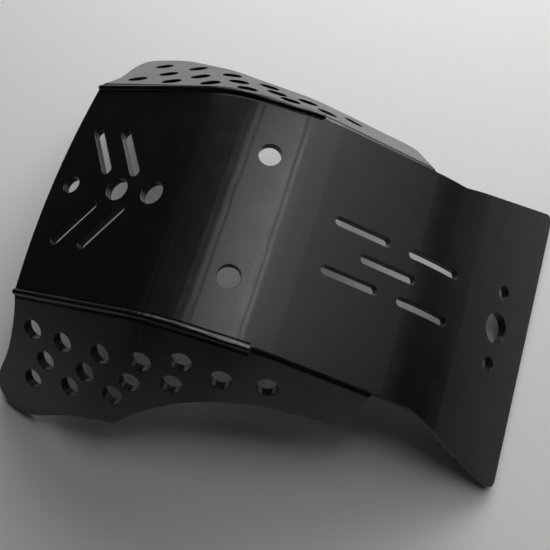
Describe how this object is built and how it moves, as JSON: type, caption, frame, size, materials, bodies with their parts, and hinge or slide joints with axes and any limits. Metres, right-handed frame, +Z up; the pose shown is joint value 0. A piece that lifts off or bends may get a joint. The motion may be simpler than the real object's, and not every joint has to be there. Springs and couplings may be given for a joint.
{
  "type": "motorcycle skid plate",
  "caption": "Folded black plastic plate that guards the underside of a motorcycle engine, with perforated side wings, drain slots, welded front folds and a flared tail.",
  "frame": {"origin": "centre of the bounding box on the floor, with the plate lying outer face up on the lobes of both wings and the edge of its tail", "axes": "+X along the plate from its front edge to its tail, +Y across it, +Z up out of the outer face"},
  "size_m": [0.4654, 0.396, 0.1546],
  "materials": {
    "black_sheet": "satin"
  },
  "bodies": {
    "root": {"skid_plate": "black_sheet"}
  },
  "joints": []
}
